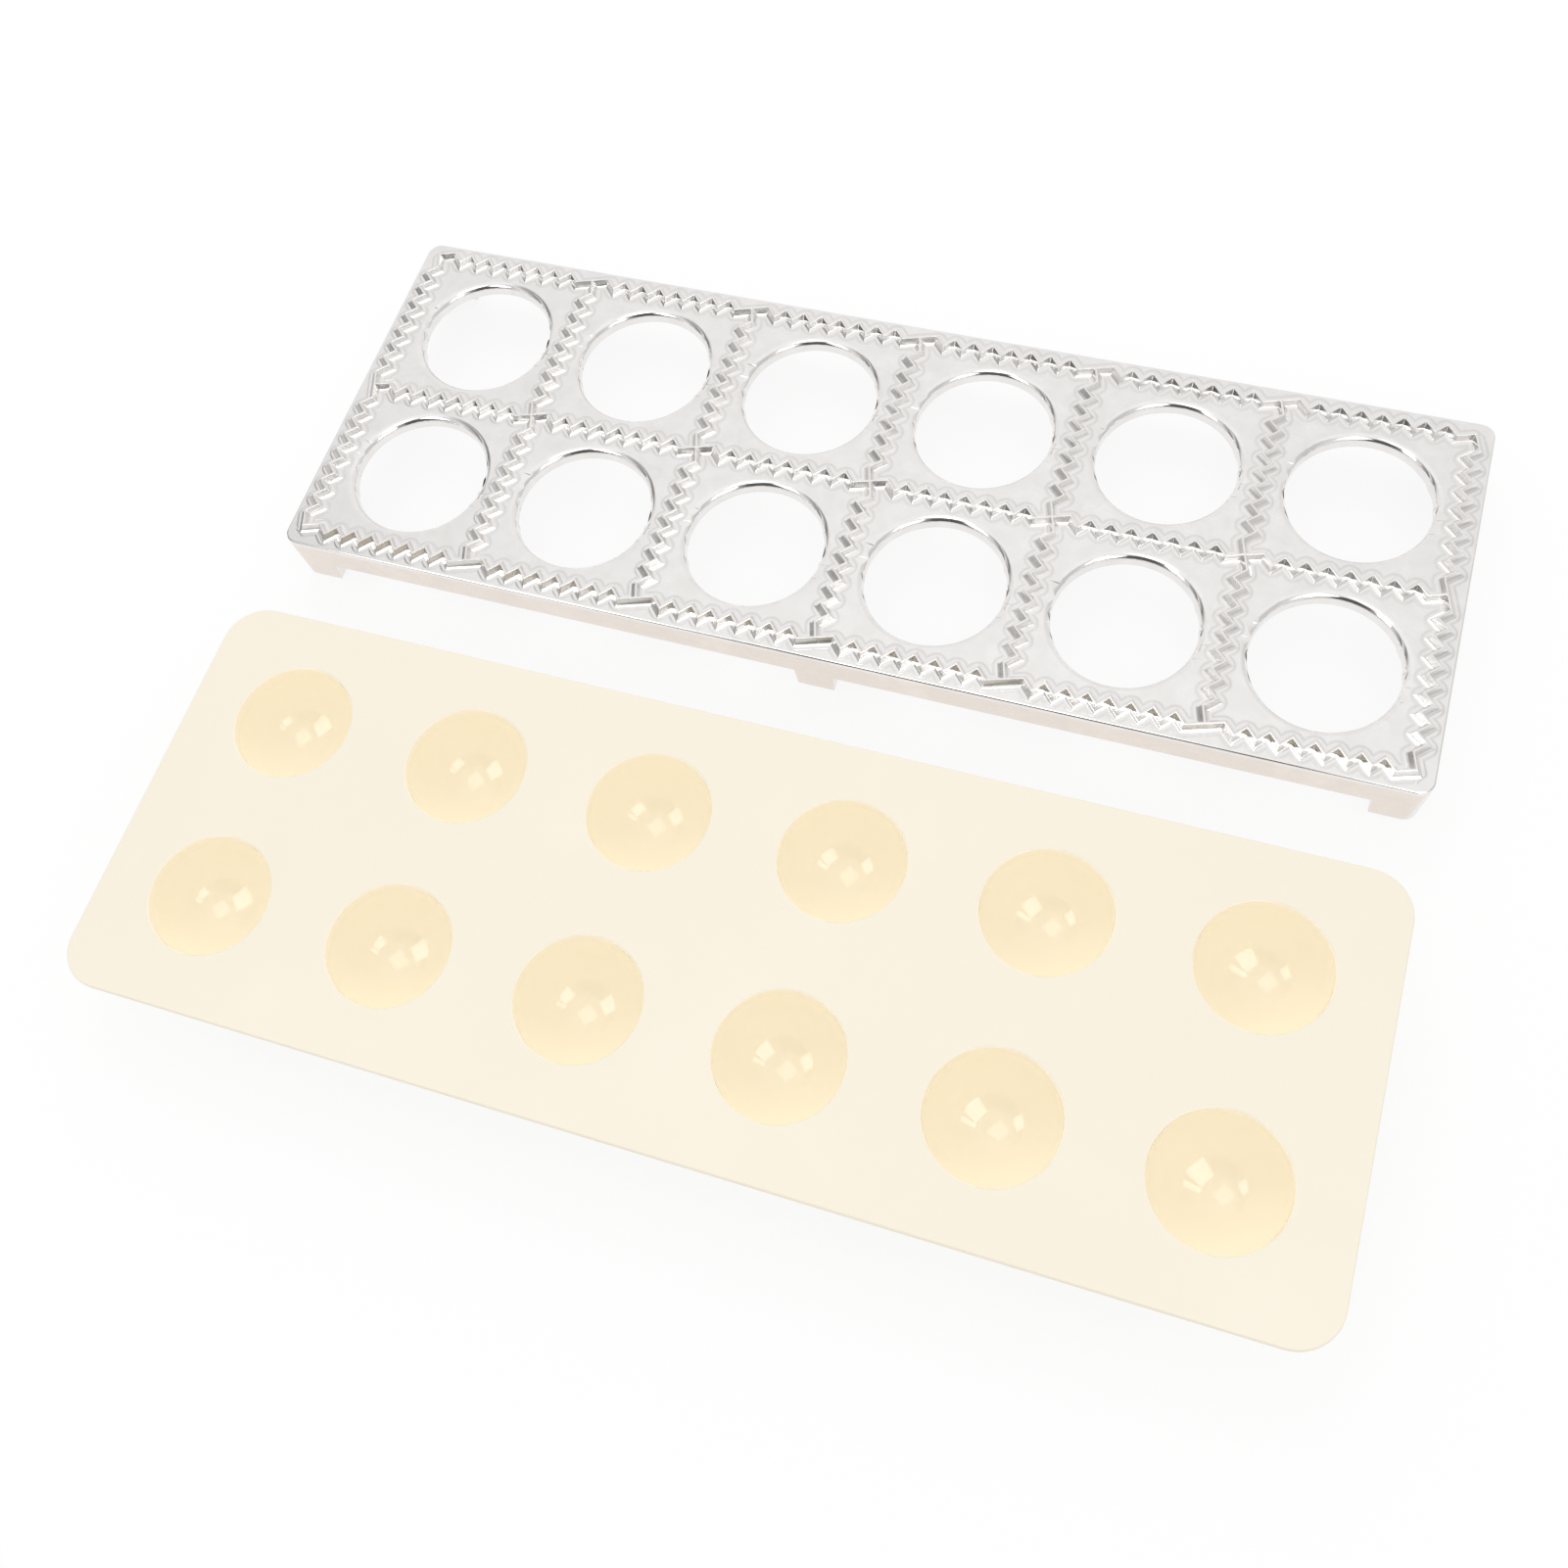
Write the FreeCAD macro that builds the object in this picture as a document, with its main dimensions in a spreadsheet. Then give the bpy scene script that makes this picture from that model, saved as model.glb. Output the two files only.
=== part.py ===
import FreeCAD, Part
import math
import os

import Sketcher

# Ravioli press in two pieces, laid side by side on the table as they are put down before use.
# The tray is one aluminium casting: a deck with a hole for each pocket, zigzag ridges that cut
# the dough, a skirt and six feet. The press plate is one moulding whose domes push the dough
# into the holes. Lengths are in millimetres and angles in degrees. The origin is on the table
# under the middle of the pair, with X along the pieces, Y from the plate to the tray and Z up.

Vector = FreeCAD.Vector

SIZES = {
    # Grid of cells, shared by both pieces
    "cell_pitch": 50.0,
    "cell_columns": 6,
    "cell_rows": 2,
    # Tray: deck, holes, skirt and feet
    "rim_margin": 5.2,
    "tray_corner_radius": 4.0,
    "tray_edge_radius": 0.6,
    "side_draft": 2.5,
    "deck_thickness": 3.5,
    "hole_land": 6.2,
    "lip_radius": 2.0,
    "skirt_depth": 9.45,
    "skirt_wall": 2.6,
    "corner_foot": 12.0,
    "middle_foot_width": 10.0,
    "foot_wall": 5.0,
    "foot_edge_radius": 1.0,
    # Tray: cutting ridges
    "ridge_height": 2.0,
    "ridge_crest": 0.5,
    "ridge_base": 2.1,
    "ridge_flare": 0.5,
    "ridge_flare_height": 0.35,
    "ridge_root": 0.6,
    "zigzag_reach": 1.45,
    "crossing_flank": 9.2,
    "teeth_per_cell": 7,
    # Press plate
    "plate_inset": 0.2,
    "plate_thickness": 2.0,
    "plate_corner_radius": 11.0,
    "plate_edge_radius": 0.5,
    "dome_clearance": 1.35,
    "dome_neck": 1.5,
    "dome_wall": 1.7,
    "dome_root_radius": 1.0,
    "hollow_edge_radius": 0.4,
    # How the two pieces meet and lie
    "table_clearance": 0.5,
    "table_gap": 23.0,
}

# Sizes worked out from the sheet, as expressions that the features are bound to
TRAY_LENGTH = "(sizes.cell_columns * sizes.cell_pitch + 2 * sizes.rim_margin)"
TRAY_WIDTH = "(sizes.cell_rows * sizes.cell_pitch + 2 * sizes.rim_margin)"
PLATE_LENGTH = f"({TRAY_LENGTH} - 2 * sizes.plate_inset)"
PLATE_WIDTH = f"({TRAY_WIDTH} - 2 * sizes.plate_inset)"
FIRST_CELL_X = "((sizes.cell_columns - 1) / 2 * sizes.cell_pitch)"
FIRST_CELL_Y = "((sizes.cell_rows - 1) / 2 * sizes.cell_pitch)"
HOLE_RADIUS = "(sizes.cell_pitch / 2 - sizes.hole_land)"
DOME_RADIUS = f"({HOLE_RADIUS} - sizes.dome_clearance)"
HOLLOW_RADIUS = f"({DOME_RADIUS} - sizes.dome_wall)"
PLATE_UNDERSIDE = f"({DOME_RADIUS} + sizes.dome_neck)"
PLATE_TOP = f"({PLATE_UNDERSIDE} + sizes.plate_thickness)"
# Both edges of the plate are rounded, so each takes less than half of the thickness
PLATE_EDGE_RADIUS = "min(sizes.plate_edge_radius; 0.4 * sizes.plate_thickness)"
# With the plate pressed down on the ridge crests, the domes just stay clear of the table
DECK_HEIGHT = f"({PLATE_UNDERSIDE} + sizes.table_clearance - sizes.ridge_height)"
FOOT_HEIGHT = f"({DECK_HEIGHT} - sizes.skirt_depth)"
TRAY_Y = f"((sizes.table_gap + {PLATE_WIDTH}) / 2)"
PLATE_Y = f"(-(sizes.table_gap + {TRAY_WIDTH}) / 2)"

TOLERANCE = 1e-4

doc = FreeCAD.newDocument("ravioli_press")
sheet = doc.addObject("Spreadsheet::Sheet", "sizes")
for row, (alias, size) in enumerate(SIZES.items(), start=1):
    sheet.set(f"A{row}", alias)
    sheet.set(f"B{row}", str(size))
    sheet.setAlias(f"B{row}", alias)
doc.recompute()


def value(expression):
    """The number that an expression on the sheet gives."""
    return float(sheet.evalExpression(expression))


# Sketches

def origin_feature(body, role):
    return next(f for f in body.Origin.OriginFeatures if f.Role == role)


def add_sketch(body, name, role, x="0", y="0", z="0"):
    """A sketch on one of the body's own planes, moved by x, y and z in the plane's own axes."""
    sketch = body.newObject("Sketcher::SketchObject", name)
    sketch.AttachmentSupport = [(origin_feature(body, role), "")]
    sketch.MapMode = "FlatFace"
    for axis, expression in (("x", x), ("y", y), ("z", z)):
        sketch.setExpression(f"AttachmentOffset.Base.{axis}", expression)
    return sketch


def bind(sketch, kind, references, expression):
    """A dimension of the sketch, held to an expression."""
    index = sketch.addConstraint(Sketcher.Constraint(kind, *references, value(expression)))
    sketch.setExpression(f"Constraints[{index}]", expression)


def bind_coordinate(sketch, kind, line, expression):
    """Hold the start of a line at a signed distance from the sketch's origin."""
    if value(expression) < 0:
        bind(sketch, kind, (line, 1, -1, 1), f"-({expression})")
    else:
        bind(sketch, kind, (-1, 1, line, 1), expression)


def join_ends(sketch, lines):
    for line, following in zip(lines, lines[1:] + lines[:1]):
        sketch.addConstraint(Sketcher.Constraint("Coincident", line, 2, following, 1))


def add_square_loop(sketch, corners):
    """A closed loop of level and upright lines through corners given as pairs of expressions."""
    points = [Vector(value(x), value(y), 0) for x, y in corners]
    lines = []
    for start, end in zip(points, points[1:] + points[:1]):
        lines.append(sketch.addGeometry(Part.LineSegment(start, end)))
    join_ends(sketch, lines)
    for line, (x, y), (next_x, _) in zip(lines, corners, corners[1:] + corners[:1]):
        if x == next_x:
            sketch.addConstraint(Sketcher.Constraint("Vertical", line))
            bind_coordinate(sketch, "DistanceX", line, x)
        else:
            sketch.addConstraint(Sketcher.Constraint("Horizontal", line))
            bind_coordinate(sketch, "DistanceY", line, y)


def box_corners(low_x, high_x, low_y, high_y):
    return [(low_x, low_y), (high_x, low_y), (high_x, high_y), (low_x, high_y)]


def add_rounded_rectangle(sketch, length, width, radius):
    """A rectangle centred on the sketch's origin, with its corners rounded."""
    half_x = value(length) / 2
    half_y = value(width) / 2
    bend = value(radius)
    outline = []
    for turn, (x, y) in enumerate(((1, -1), (1, 1), (-1, 1), (-1, -1))):
        centre = Vector(x * (half_x - bend), y * (half_y - bend), 0)
        start = math.radians(90 * turn - 90)
        outline.append(Part.ArcOfCircle(
            Part.Circle(centre, Vector(0, 0, 1), bend), start, start + math.pi / 2))
    arcs = [sketch.addGeometry(arc) for arc in outline]
    sides = []
    for arc, following in zip(outline, outline[1:] + outline[:1]):
        sides.append(sketch.addGeometry(Part.LineSegment(arc.EndPoint, following.StartPoint)))
    for index, side in enumerate(sides):
        sketch.addConstraint(Sketcher.Constraint("Tangent", arcs[index], 2, side, 1))
        sketch.addConstraint(Sketcher.Constraint("Tangent", side, 2, arcs[(index + 1) % 4], 1))
    right, top, left, bottom = sides
    for side in (right, left):
        sketch.addConstraint(Sketcher.Constraint("Vertical", side))
    for side in (top, bottom):
        sketch.addConstraint(Sketcher.Constraint("Horizontal", side))
    for arc in arcs[1:]:
        sketch.addConstraint(Sketcher.Constraint("Equal", arcs[0], arc))
    sketch.addConstraint(Sketcher.Constraint("Symmetric", right, 1, left, 1, -1, 1))
    bind(sketch, "Radius", (arcs[0],), radius)
    bind(sketch, "DistanceX", (left, 1, right, 1), length)
    bind(sketch, "DistanceY", (bottom, 1, top, 1), width)


# Features

def add_feature(body, kind, name, profile, **settings):
    """A sketch-based feature. Settings that are text are bound as expressions."""
    feature = body.newObject(f"PartDesign::{kind}", name)
    feature.Profile = profile
    for setting, content in settings.items():
        if isinstance(content, str):
            feature.setExpression(setting, content)
        else:
            setattr(feature, setting, content)
    doc.recompute()
    return feature


def add_row(body, name, axis, count):
    """A row of copies one cell apart, for use inside a combined pattern."""
    row = body.newObject("PartDesign::LinearPattern", name)
    row.Direction = (origin_feature(body, axis), [""])
    row.Mode = "Spacing"
    row.setExpression("Offset", "sizes.cell_pitch")
    row.setExpression("Occurrences", count)
    return row


def repeat_over_cells(body, name, feature):
    """Copies of a first cell's feature in every other cell."""
    pattern = body.newObject("PartDesign::MultiTransform", name)
    pattern.Originals = [feature]
    pattern.Transformations = [
        add_row(body, f"{name}_along", "X_Axis", "sizes.cell_columns"),
        add_row(body, f"{name}_across", "Y_Axis", "sizes.cell_rows"),
    ]
    body.Tip = pattern
    doc.recompute()
    return pattern


def round_edges(body, name, base, radius, chosen):
    """A fillet on the edges of the base feature that a test picks."""
    names = [f"Edge{i}" for i, edge in enumerate(base.Shape.Edges, start=1) if chosen(edge)]
    if not names:
        raise RuntimeError(f"{name}: no edge to round")
    fillet = body.newObject("PartDesign::Fillet", name)
    fillet.Base = (base, names)
    fillet.setExpression("Radius", radius)
    doc.recompute()
    return fillet


def at_level(height):
    """A test for edges that lie in a level plane."""
    level = value(height)
    return lambda edge: abs(edge.BoundBox.ZMin - level) < TOLERANCE and edge.BoundBox.ZLength < TOLERANCE


def circles_at(height, radius):
    """A test for level circles of one radius."""
    in_plane = at_level(height)
    size = value(radius)
    return lambda edge: (in_plane(edge) and isinstance(edge.Curve, Part.Circle)
                         and abs(edge.Curve.Radius - size) < TOLERANCE)


# Tray casting: deck, holes, skirt and feet

def cast_deck_and_feet():
    body = doc.addObject("PartDesign::Body", "casting")
    half_length = f"({TRAY_LENGTH} / 2)"
    half_width = f"({TRAY_WIDTH} / 2)"

    outline = add_sketch(body, "tray_outline", "XY_Plane", z=DECK_HEIGHT)
    add_rounded_rectangle(outline, TRAY_LENGTH, TRAY_WIDTH, "sizes.tray_corner_radius")
    block = add_feature(body, "Pad", "block", outline, Length=DECK_HEIGHT, Reversed=True,
                        TaperAngle="-sizes.side_draft")
    round_edges(body, "rounded_top_edge", block, "sizes.tray_edge_radius", at_level(DECK_HEIGHT))

    # Below the skirt only the six feet are left standing, L-shaped ones at the corners
    beyond_x = f"({half_length} + sizes.rim_margin)"
    beyond_y = f"({half_width} + sizes.rim_margin)"
    past_x = f"({half_length} + sizes.rim_margin / 2)"
    past_y = f"({half_width} + sizes.rim_margin / 2)"
    corner_x = f"({half_length} - sizes.corner_foot)"
    corner_y = f"({half_width} - sizes.corner_foot)"
    leg_x = f"({half_length} - sizes.foot_wall)"
    leg_y = f"({half_width} - sizes.foot_wall)"
    middle_x = "(sizes.middle_foot_width / 2)"
    band = add_sketch(body, "between_feet", "XY_Plane")
    add_square_loop(band, box_corners(f"-{beyond_x}", beyond_x, f"-{beyond_y}", beyond_y))
    for y_sign in ("-", ""):
        for x_sign in ("-", ""):
            add_square_loop(band, [
                (f"{x_sign}{past_x}", f"{y_sign}{past_y}"), (f"{x_sign}{corner_x}", f"{y_sign}{past_y}"),
                (f"{x_sign}{corner_x}", f"{y_sign}{leg_y}"), (f"{x_sign}{leg_x}", f"{y_sign}{leg_y}"),
                (f"{x_sign}{leg_x}", f"{y_sign}{corner_y}"), (f"{x_sign}{past_x}", f"{y_sign}{corner_y}"),
            ])
        add_square_loop(band, [
            (f"-{middle_x}", f"{y_sign}{past_y}"), (middle_x, f"{y_sign}{past_y}"),
            (middle_x, f"{y_sign}{leg_y}"), (f"-{middle_x}", f"{y_sign}{leg_y}"),
        ])
    add_feature(body, "Pocket", "cut_between_feet", band, Length=FOOT_HEIGHT, Reversed=True,
                TaperAngle="sizes.side_draft")

    # The space under the deck goes round the feet and leaves the skirt's wall
    wall_x = f"({half_length} - sizes.skirt_wall)"
    wall_y = f"({half_width} - sizes.skirt_wall)"
    front = [
        (f"-{corner_x}", f"-{wall_y}"), (f"-{middle_x}", f"-{wall_y}"),
        (f"-{middle_x}", f"-{leg_y}"), (middle_x, f"-{leg_y}"),
        (middle_x, f"-{wall_y}"), (corner_x, f"-{wall_y}"),
        (corner_x, f"-{leg_y}"), (leg_x, f"-{leg_y}"),
        (leg_x, f"-{corner_y}"), (wall_x, f"-{corner_y}"),
    ]
    back = [
        (wall_x, corner_y), (leg_x, corner_y),
        (leg_x, leg_y), (corner_x, leg_y),
        (corner_x, wall_y), (middle_x, wall_y),
        (middle_x, leg_y), (f"-{middle_x}", leg_y),
        (f"-{middle_x}", wall_y), (f"-{corner_x}", wall_y),
        (f"-{corner_x}", leg_y), (f"-{leg_x}", leg_y),
        (f"-{leg_x}", corner_y), (f"-{wall_x}", corner_y),
        (f"-{wall_x}", f"-{corner_y}"), (f"-{leg_x}", f"-{corner_y}"),
        (f"-{leg_x}", f"-{leg_y}"), (f"-{corner_x}", f"-{leg_y}"),
    ]
    underside = add_sketch(body, "underside_outline", "XY_Plane")
    add_square_loop(underside, front + back)
    hollow = add_feature(body, "Pocket", "underside", underside, Reversed=True,
                         Length=f"{DECK_HEIGHT} - sizes.deck_thickness", TaperAngle="-sizes.side_draft")
    round_edges(body, "rounded_feet", hollow, "sizes.foot_edge_radius", at_level("0"))

    hole_outline = add_sketch(body, "hole_outline", "XY_Plane", x=f"-{FIRST_CELL_X}",
                              y=f"-{FIRST_CELL_Y}", z=DECK_HEIGHT)
    circle = hole_outline.addGeometry(Part.Circle(Vector(), Vector(0, 0, 1), value(HOLE_RADIUS)))
    hole_outline.addConstraint(Sketcher.Constraint("Coincident", circle, 3, -1, 1))
    bind(hole_outline, "Radius", (circle,), HOLE_RADIUS)
    hole = add_feature(body, "Pocket", "hole", hole_outline, Length="sizes.deck_thickness")
    holes = repeat_over_cells(body, "holes", hole)
    round_edges(body, "hole_lips", holes, "sizes.lip_radius", circles_at(DECK_HEIGHT, HOLE_RADIUS))
    return body


# Tray casting: zigzag ridges

def zigzag(cells):
    """Points of a ridge's centre line over a number of cells, along X with its middle at the origin.

    A long flank passes through each crossing, and shorter flanks of the same reach lie between.
    """
    pitch = value("sizes.cell_pitch")
    reach = value("sizes.zigzag_reach")
    half_flank = value("sizes.crossing_flank") / 2
    flanks = 2 * int(value("sizes.teeth_per_cell")) + 1
    step = (pitch - 2 * half_flank) / flanks
    start = -cells * pitch / 2
    points = [Vector(start, 0, 0)]
    for cell in range(cells):
        first = start + cell * pitch + half_flank
        for flank in range(flanks + 1):
            points.append(Vector(first + flank * step, reach if flank % 2 == 0 else -reach, 0))
    points.append(Vector(-start, 0, 0))
    return points


def ridge_outline(line, half_width, height):
    """Closed loop at one height of a ridge, half a width away from its centre line all round."""
    ways = [(end - start).normalize() for start, end in zip(line, line[1:])]
    line = [line[0] - ways[0] * half_width] + line[1:-1] + [line[-1] + ways[-1] * half_width]
    lefts = [Vector(-way.y, way.x, 0) for way in ways]
    shifts = [lefts[0]]
    for left, following in zip(lefts, lefts[1:]):
        both = left + following
        shifts.append(both * (1 / (1 + left.dot(following))))
    shifts.append(lefts[-1])
    lift = Vector(0, 0, height)
    there = [point + shift * half_width + lift for point, shift in zip(line, shifts)]
    back = [point - shift * half_width + lift for point, shift in zip(line, shifts)]
    return there + back[::-1]


def flat_face(points):
    return Part.Face(Part.makePolygon(points + points[:1]))


def ridge(cells):
    """One ridge with its root below the deck's surface, a flared foot and a narrow crest."""
    line = zigzag(cells)
    crest = value("sizes.ridge_crest / 2")
    base = value("sizes.ridge_base / 2")
    height = value("sizes.ridge_height")
    flare = value("sizes.ridge_flare")
    flare_height = value("sizes.ridge_flare_height")
    neck = base + (crest - base) * flare_height / height
    levels = [
        ridge_outline(line, base + flare, -value("sizes.ridge_root")),
        ridge_outline(line, base + flare, 0),
        ridge_outline(line, neck, flare_height),
        ridge_outline(line, crest, height),
    ]
    faces = [flat_face(levels[0]), flat_face(levels[-1])]
    for lower, upper in zip(levels, levels[1:]):
        for i in range(len(lower)):
            faces.append(flat_face([lower[i - 1], lower[i], upper[i], upper[i - 1]]))
    shell = Part.makeShell(faces)
    shell.sewShape()
    solid = Part.makeSolid(shell)
    if solid.Volume < 0:
        solid.reverse()
    return solid


def cast_ridges():
    """All the ridges of the grid, joined where they cross."""
    pitch = value("sizes.cell_pitch")
    columns = int(value("sizes.cell_columns"))
    rows = int(value("sizes.cell_rows"))
    along = ridge(columns)
    across = ridge(rows)
    across.rotate(Vector(), Vector(0, 0, 1), 90)
    solids = []
    for row in range(rows + 1):
        solids.append(along.translated(Vector(0, (row - rows / 2) * pitch, 0)))
    for column in range(columns + 1):
        solids.append(across.translated(Vector((column - columns / 2) * pitch, 0, 0)))
    ridges = doc.addObject("Part::Feature", "ridges")
    ridges.Shape = solids[0].multiFuse(solids[1:]).removeSplitter()
    ridges.setExpression("Placement.Base.z", DECK_HEIGHT)
    return ridges


def make_tray():
    tray = doc.addObject("Part::Fuse", "ravioli_tray")
    tray.Label = "ravioli_tray"
    tray.Base = cast_deck_and_feet()
    tray.Tool = cast_ridges()
    tray.setExpression("Placement.Base.y", TRAY_Y)
    return tray


# Press plate

def add_dome_section(sketch, radius, neck):
    """Half of a dome's section: a quarter disc, carried on upwards by an upright neck.

    The disc's centre is a dome radius above the sketch's origin, on its upright axis.
    """
    size = value(radius)
    centre = Vector(0, value(DOME_RADIUS), 0)
    side = Vector(size, 0, 0)
    rise = Vector(0, value(neck), 0)
    bottom = centre - Vector(0, size, 0)
    arc = sketch.addGeometry(Part.ArcOfCircle(
        Part.Circle(centre, Vector(0, 0, 1), size), math.radians(-90), 0))
    wall = sketch.addGeometry(Part.LineSegment(centre + side, centre + side + rise))
    top = sketch.addGeometry(Part.LineSegment(centre + side + rise, centre + rise))
    axis = sketch.addGeometry(Part.LineSegment(centre + rise, bottom))
    join_ends(sketch, [arc, wall, top, axis])
    sketch.addConstraint(Sketcher.Constraint("Vertical", wall))
    sketch.addConstraint(Sketcher.Constraint("Horizontal", top))
    sketch.addConstraint(Sketcher.Constraint("PointOnObject", axis, 1, -2))
    sketch.addConstraint(Sketcher.Constraint("PointOnObject", arc, 1, -2))
    sketch.addConstraint(Sketcher.Constraint("PointOnObject", arc, 3, -2))
    bind(sketch, "Radius", (arc,), radius)
    bind(sketch, "DistanceY", (-1, 1, arc, 3), DOME_RADIUS)
    bind(sketch, "DistanceY", (-1, 1, arc, 2), DOME_RADIUS)
    bind(sketch, "DistanceY", (wall, 1, wall, 2), neck)


def mould_plate():
    body = doc.addObject("PartDesign::Body", "press_plate")
    body.Label = "press_plate"
    outline = add_sketch(body, "plate_outline", "XY_Plane", z=PLATE_UNDERSIDE)
    add_rounded_rectangle(outline, PLATE_LENGTH, PLATE_WIDTH, "sizes.plate_corner_radius")
    flat = add_feature(body, "Pad", "flat", outline, Length="sizes.plate_thickness")
    on_faces = at_level(PLATE_UNDERSIDE), at_level(PLATE_TOP)
    round_edges(body, "rounded_edge", flat, PLATE_EDGE_RADIUS,
                lambda edge: any(test(edge) for test in on_faces))

    dome_section = add_sketch(body, "dome_section", "XZ_Plane", x=f"-{FIRST_CELL_X}", z=FIRST_CELL_Y)
    add_dome_section(dome_section, DOME_RADIUS, "sizes.dome_neck")
    dome = add_feature(body, "Revolution", "dome", dome_section,
                       ReferenceAxis=(dome_section, ["V_Axis"]))
    domes = repeat_over_cells(body, "domes", dome)
    round_edges(body, "dome_roots", domes, "sizes.dome_root_radius",
                circles_at(PLATE_UNDERSIDE, DOME_RADIUS))

    hollow_section = add_sketch(body, "hollow_section", "XZ_Plane", x=f"-{FIRST_CELL_X}", z=FIRST_CELL_Y)
    add_dome_section(hollow_section, HOLLOW_RADIUS, "sizes.dome_neck + sizes.plate_thickness")
    hollow = add_feature(body, "Groove", "hollow", hollow_section,
                         ReferenceAxis=(hollow_section, ["V_Axis"]))
    hollows = repeat_over_cells(body, "hollows", hollow)
    round_edges(body, "hollow_edges", hollows, "sizes.hollow_edge_radius",
                circles_at(PLATE_TOP, HOLLOW_RADIUS))
    body.setExpression("Placement.Base.y", PLATE_Y)
    return body


def check_document():
    """Stop if a feature failed, or if a cut took nothing away."""
    for item in doc.Objects:
        if "Invalid" in item.State or "Error" in item.State:
            raise RuntimeError(f"{item.Label} failed: {item.State}")
        if item.TypeId in ("PartDesign::Pocket", "PartDesign::Groove"):
            if item.Shape.Volume >= item.BaseFeature.Shape.Volume - TOLERANCE:
                raise RuntimeError(f"{item.Label} cuts nothing")


def write_parts(parts):
    os.makedirs("parts", exist_ok=True)
    for part in parts:
        shape = part.Shape
        if shape.isNull() or not shape.isValid() or len(shape.Solids) != 1:
            raise RuntimeError(f"{part.Label} is not one valid solid")
    for part in parts:
        part.Shape.exportStep(f"parts/{part.Label}.step")
        box = part.Shape.optimalBoundingBox(False, False)
        print(f"{part.Label}: {part.Shape.Volume:.0f} mm3, {box.XLength:.2f} x {box.YLength:.2f} x "
              f"{box.ZLength:.2f} mm, y {box.YMin:.2f} to {box.YMax:.2f}, z {box.ZMin:.2f} to {box.ZMax:.2f}")


pieces = [make_tray(), mould_plate()]
doc.recompute()
check_document()
write_parts(pieces)
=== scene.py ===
import math

import bpy
from mathutils import Matrix, Vector


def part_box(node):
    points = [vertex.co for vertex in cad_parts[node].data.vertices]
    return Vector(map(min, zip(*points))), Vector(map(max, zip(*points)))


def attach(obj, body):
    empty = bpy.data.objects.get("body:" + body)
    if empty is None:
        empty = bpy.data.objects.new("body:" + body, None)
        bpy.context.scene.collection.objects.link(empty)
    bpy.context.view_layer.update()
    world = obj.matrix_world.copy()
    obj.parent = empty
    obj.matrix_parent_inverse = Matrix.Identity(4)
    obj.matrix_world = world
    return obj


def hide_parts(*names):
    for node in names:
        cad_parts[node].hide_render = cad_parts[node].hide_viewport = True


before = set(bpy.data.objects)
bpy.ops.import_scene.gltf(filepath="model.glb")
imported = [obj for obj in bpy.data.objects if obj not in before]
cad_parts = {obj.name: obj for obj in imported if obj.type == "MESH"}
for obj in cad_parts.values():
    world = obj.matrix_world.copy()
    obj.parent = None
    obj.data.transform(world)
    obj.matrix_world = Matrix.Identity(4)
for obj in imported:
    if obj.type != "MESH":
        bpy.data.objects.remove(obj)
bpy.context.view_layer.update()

bl_info = {
    "name": "Ravioli press",
    "version": (1, 0, 0),
    "blender": (4, 5, 0),
    "location": "3D View > Sidebar > Ravioli Press",
    "description": "Finishes the cast tray and the moulded press plate, and sets up the studio",
    "category": "Object",
}

MM = 0.001

# Grid of cells, shared by both pieces
PITCH = 50 * MM
LAST_CROSSING = (3 * PITCH, PITCH)
TRAY_MIDDLE = (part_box("ravioli_tray")[0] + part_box("ravioli_tray")[1]) / 2
PLATE_MIDDLE = (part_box("press_plate")[0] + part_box("press_plate")[1]) / 2

# Tray: heights, how closely they are met, outline, lips and the zigzag line of the ridges
DECK_TOP = 17.45 * MM
RIDGE_TOP = 19.45 * MM
LEVEL = 0.005 * MM
TRAY_HALF = (155.2 * MM, 55.2 * MM)
LIP_OUTER = 20.8 * MM
ZIGZAG_REACH = 1.45 * MM
ZIGZAG_STEP = 2.72 * MM
CROSSING_HALF = 4.6 * MM

# Tray: the shallow step on the deck that follows the ridges, and the painted shade line along it
BORDER_REACH = 2.5 * MM
BORDER_BLUR = 0.2 * MM
LINE_HALF = 0.75 * MM
STEP_HEIGHT = 0.055 * MM

# Tray: where the polish, the painted shade line and the painted warm reflection start and where they are full,
# inwards from the outline, outwards from a lip or down from the deck
OUTLINE_BAND = (1.2 * MM, 0.6 * MM)
LIP_BAND = (0.6 * MM, -0.2 * MM)
POLISHED_EDGE_BAND = (1.2 * MM, 0.7 * MM)
DECK_BAND = (0.4 * MM, 0.1 * MM)
PAINTED_REFLECTION_BAND = (0.8 * MM, 2 * MM)

# Tray: gloss and relief of the satin, which varies with the blotches, and of the polish
BLOTCH_RANGE = (0.3, 0.7)
SATIN_ROUGHNESS = (0.16, 0.3)
POLISH_ROUGHNESS = 0.1
GRIT_SIZE = 0.9 * MM
GRIT_SHARE = 0.4
RELIEF_HEIGHT = 0.08 * MM
SATIN_RELIEF = 0.4
POLISH_RELIEF = 0.08
# Painted shade: how far the base colour is darkened along the line round the ridges
PAINTED_LINE_SHADE = 0.89

# Tray: how its mesh is welded, its flat faces are joined and its crests are found and rounded
WELD_GAP = 0.002 * MM
FLAT_ANGLE = math.radians(0.3)
CREST_ANGLE = math.radians(15)
CREST_SEGMENTS = 2
SMOOTH_ANGLE = math.radians(32)

# Plate: distance from the axis of a hollow where its finish starts and where it is full
HOLLOW_BAND = (16.1 * MM, 15.65 * MM)

# Plate: gloss and relief of the matte flat, and gloss of the hollows
CLOUD_SIZE = 30 * MM
FLAT_ROUGHNESS = 0.55
HOLLOW_ROUGHNESS = 0.02
GRAIN_HEIGHT = 0.05 * MM
GRAIN_RELIEF = 0.3
PLASTIC_IOR = 1.5

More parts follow.
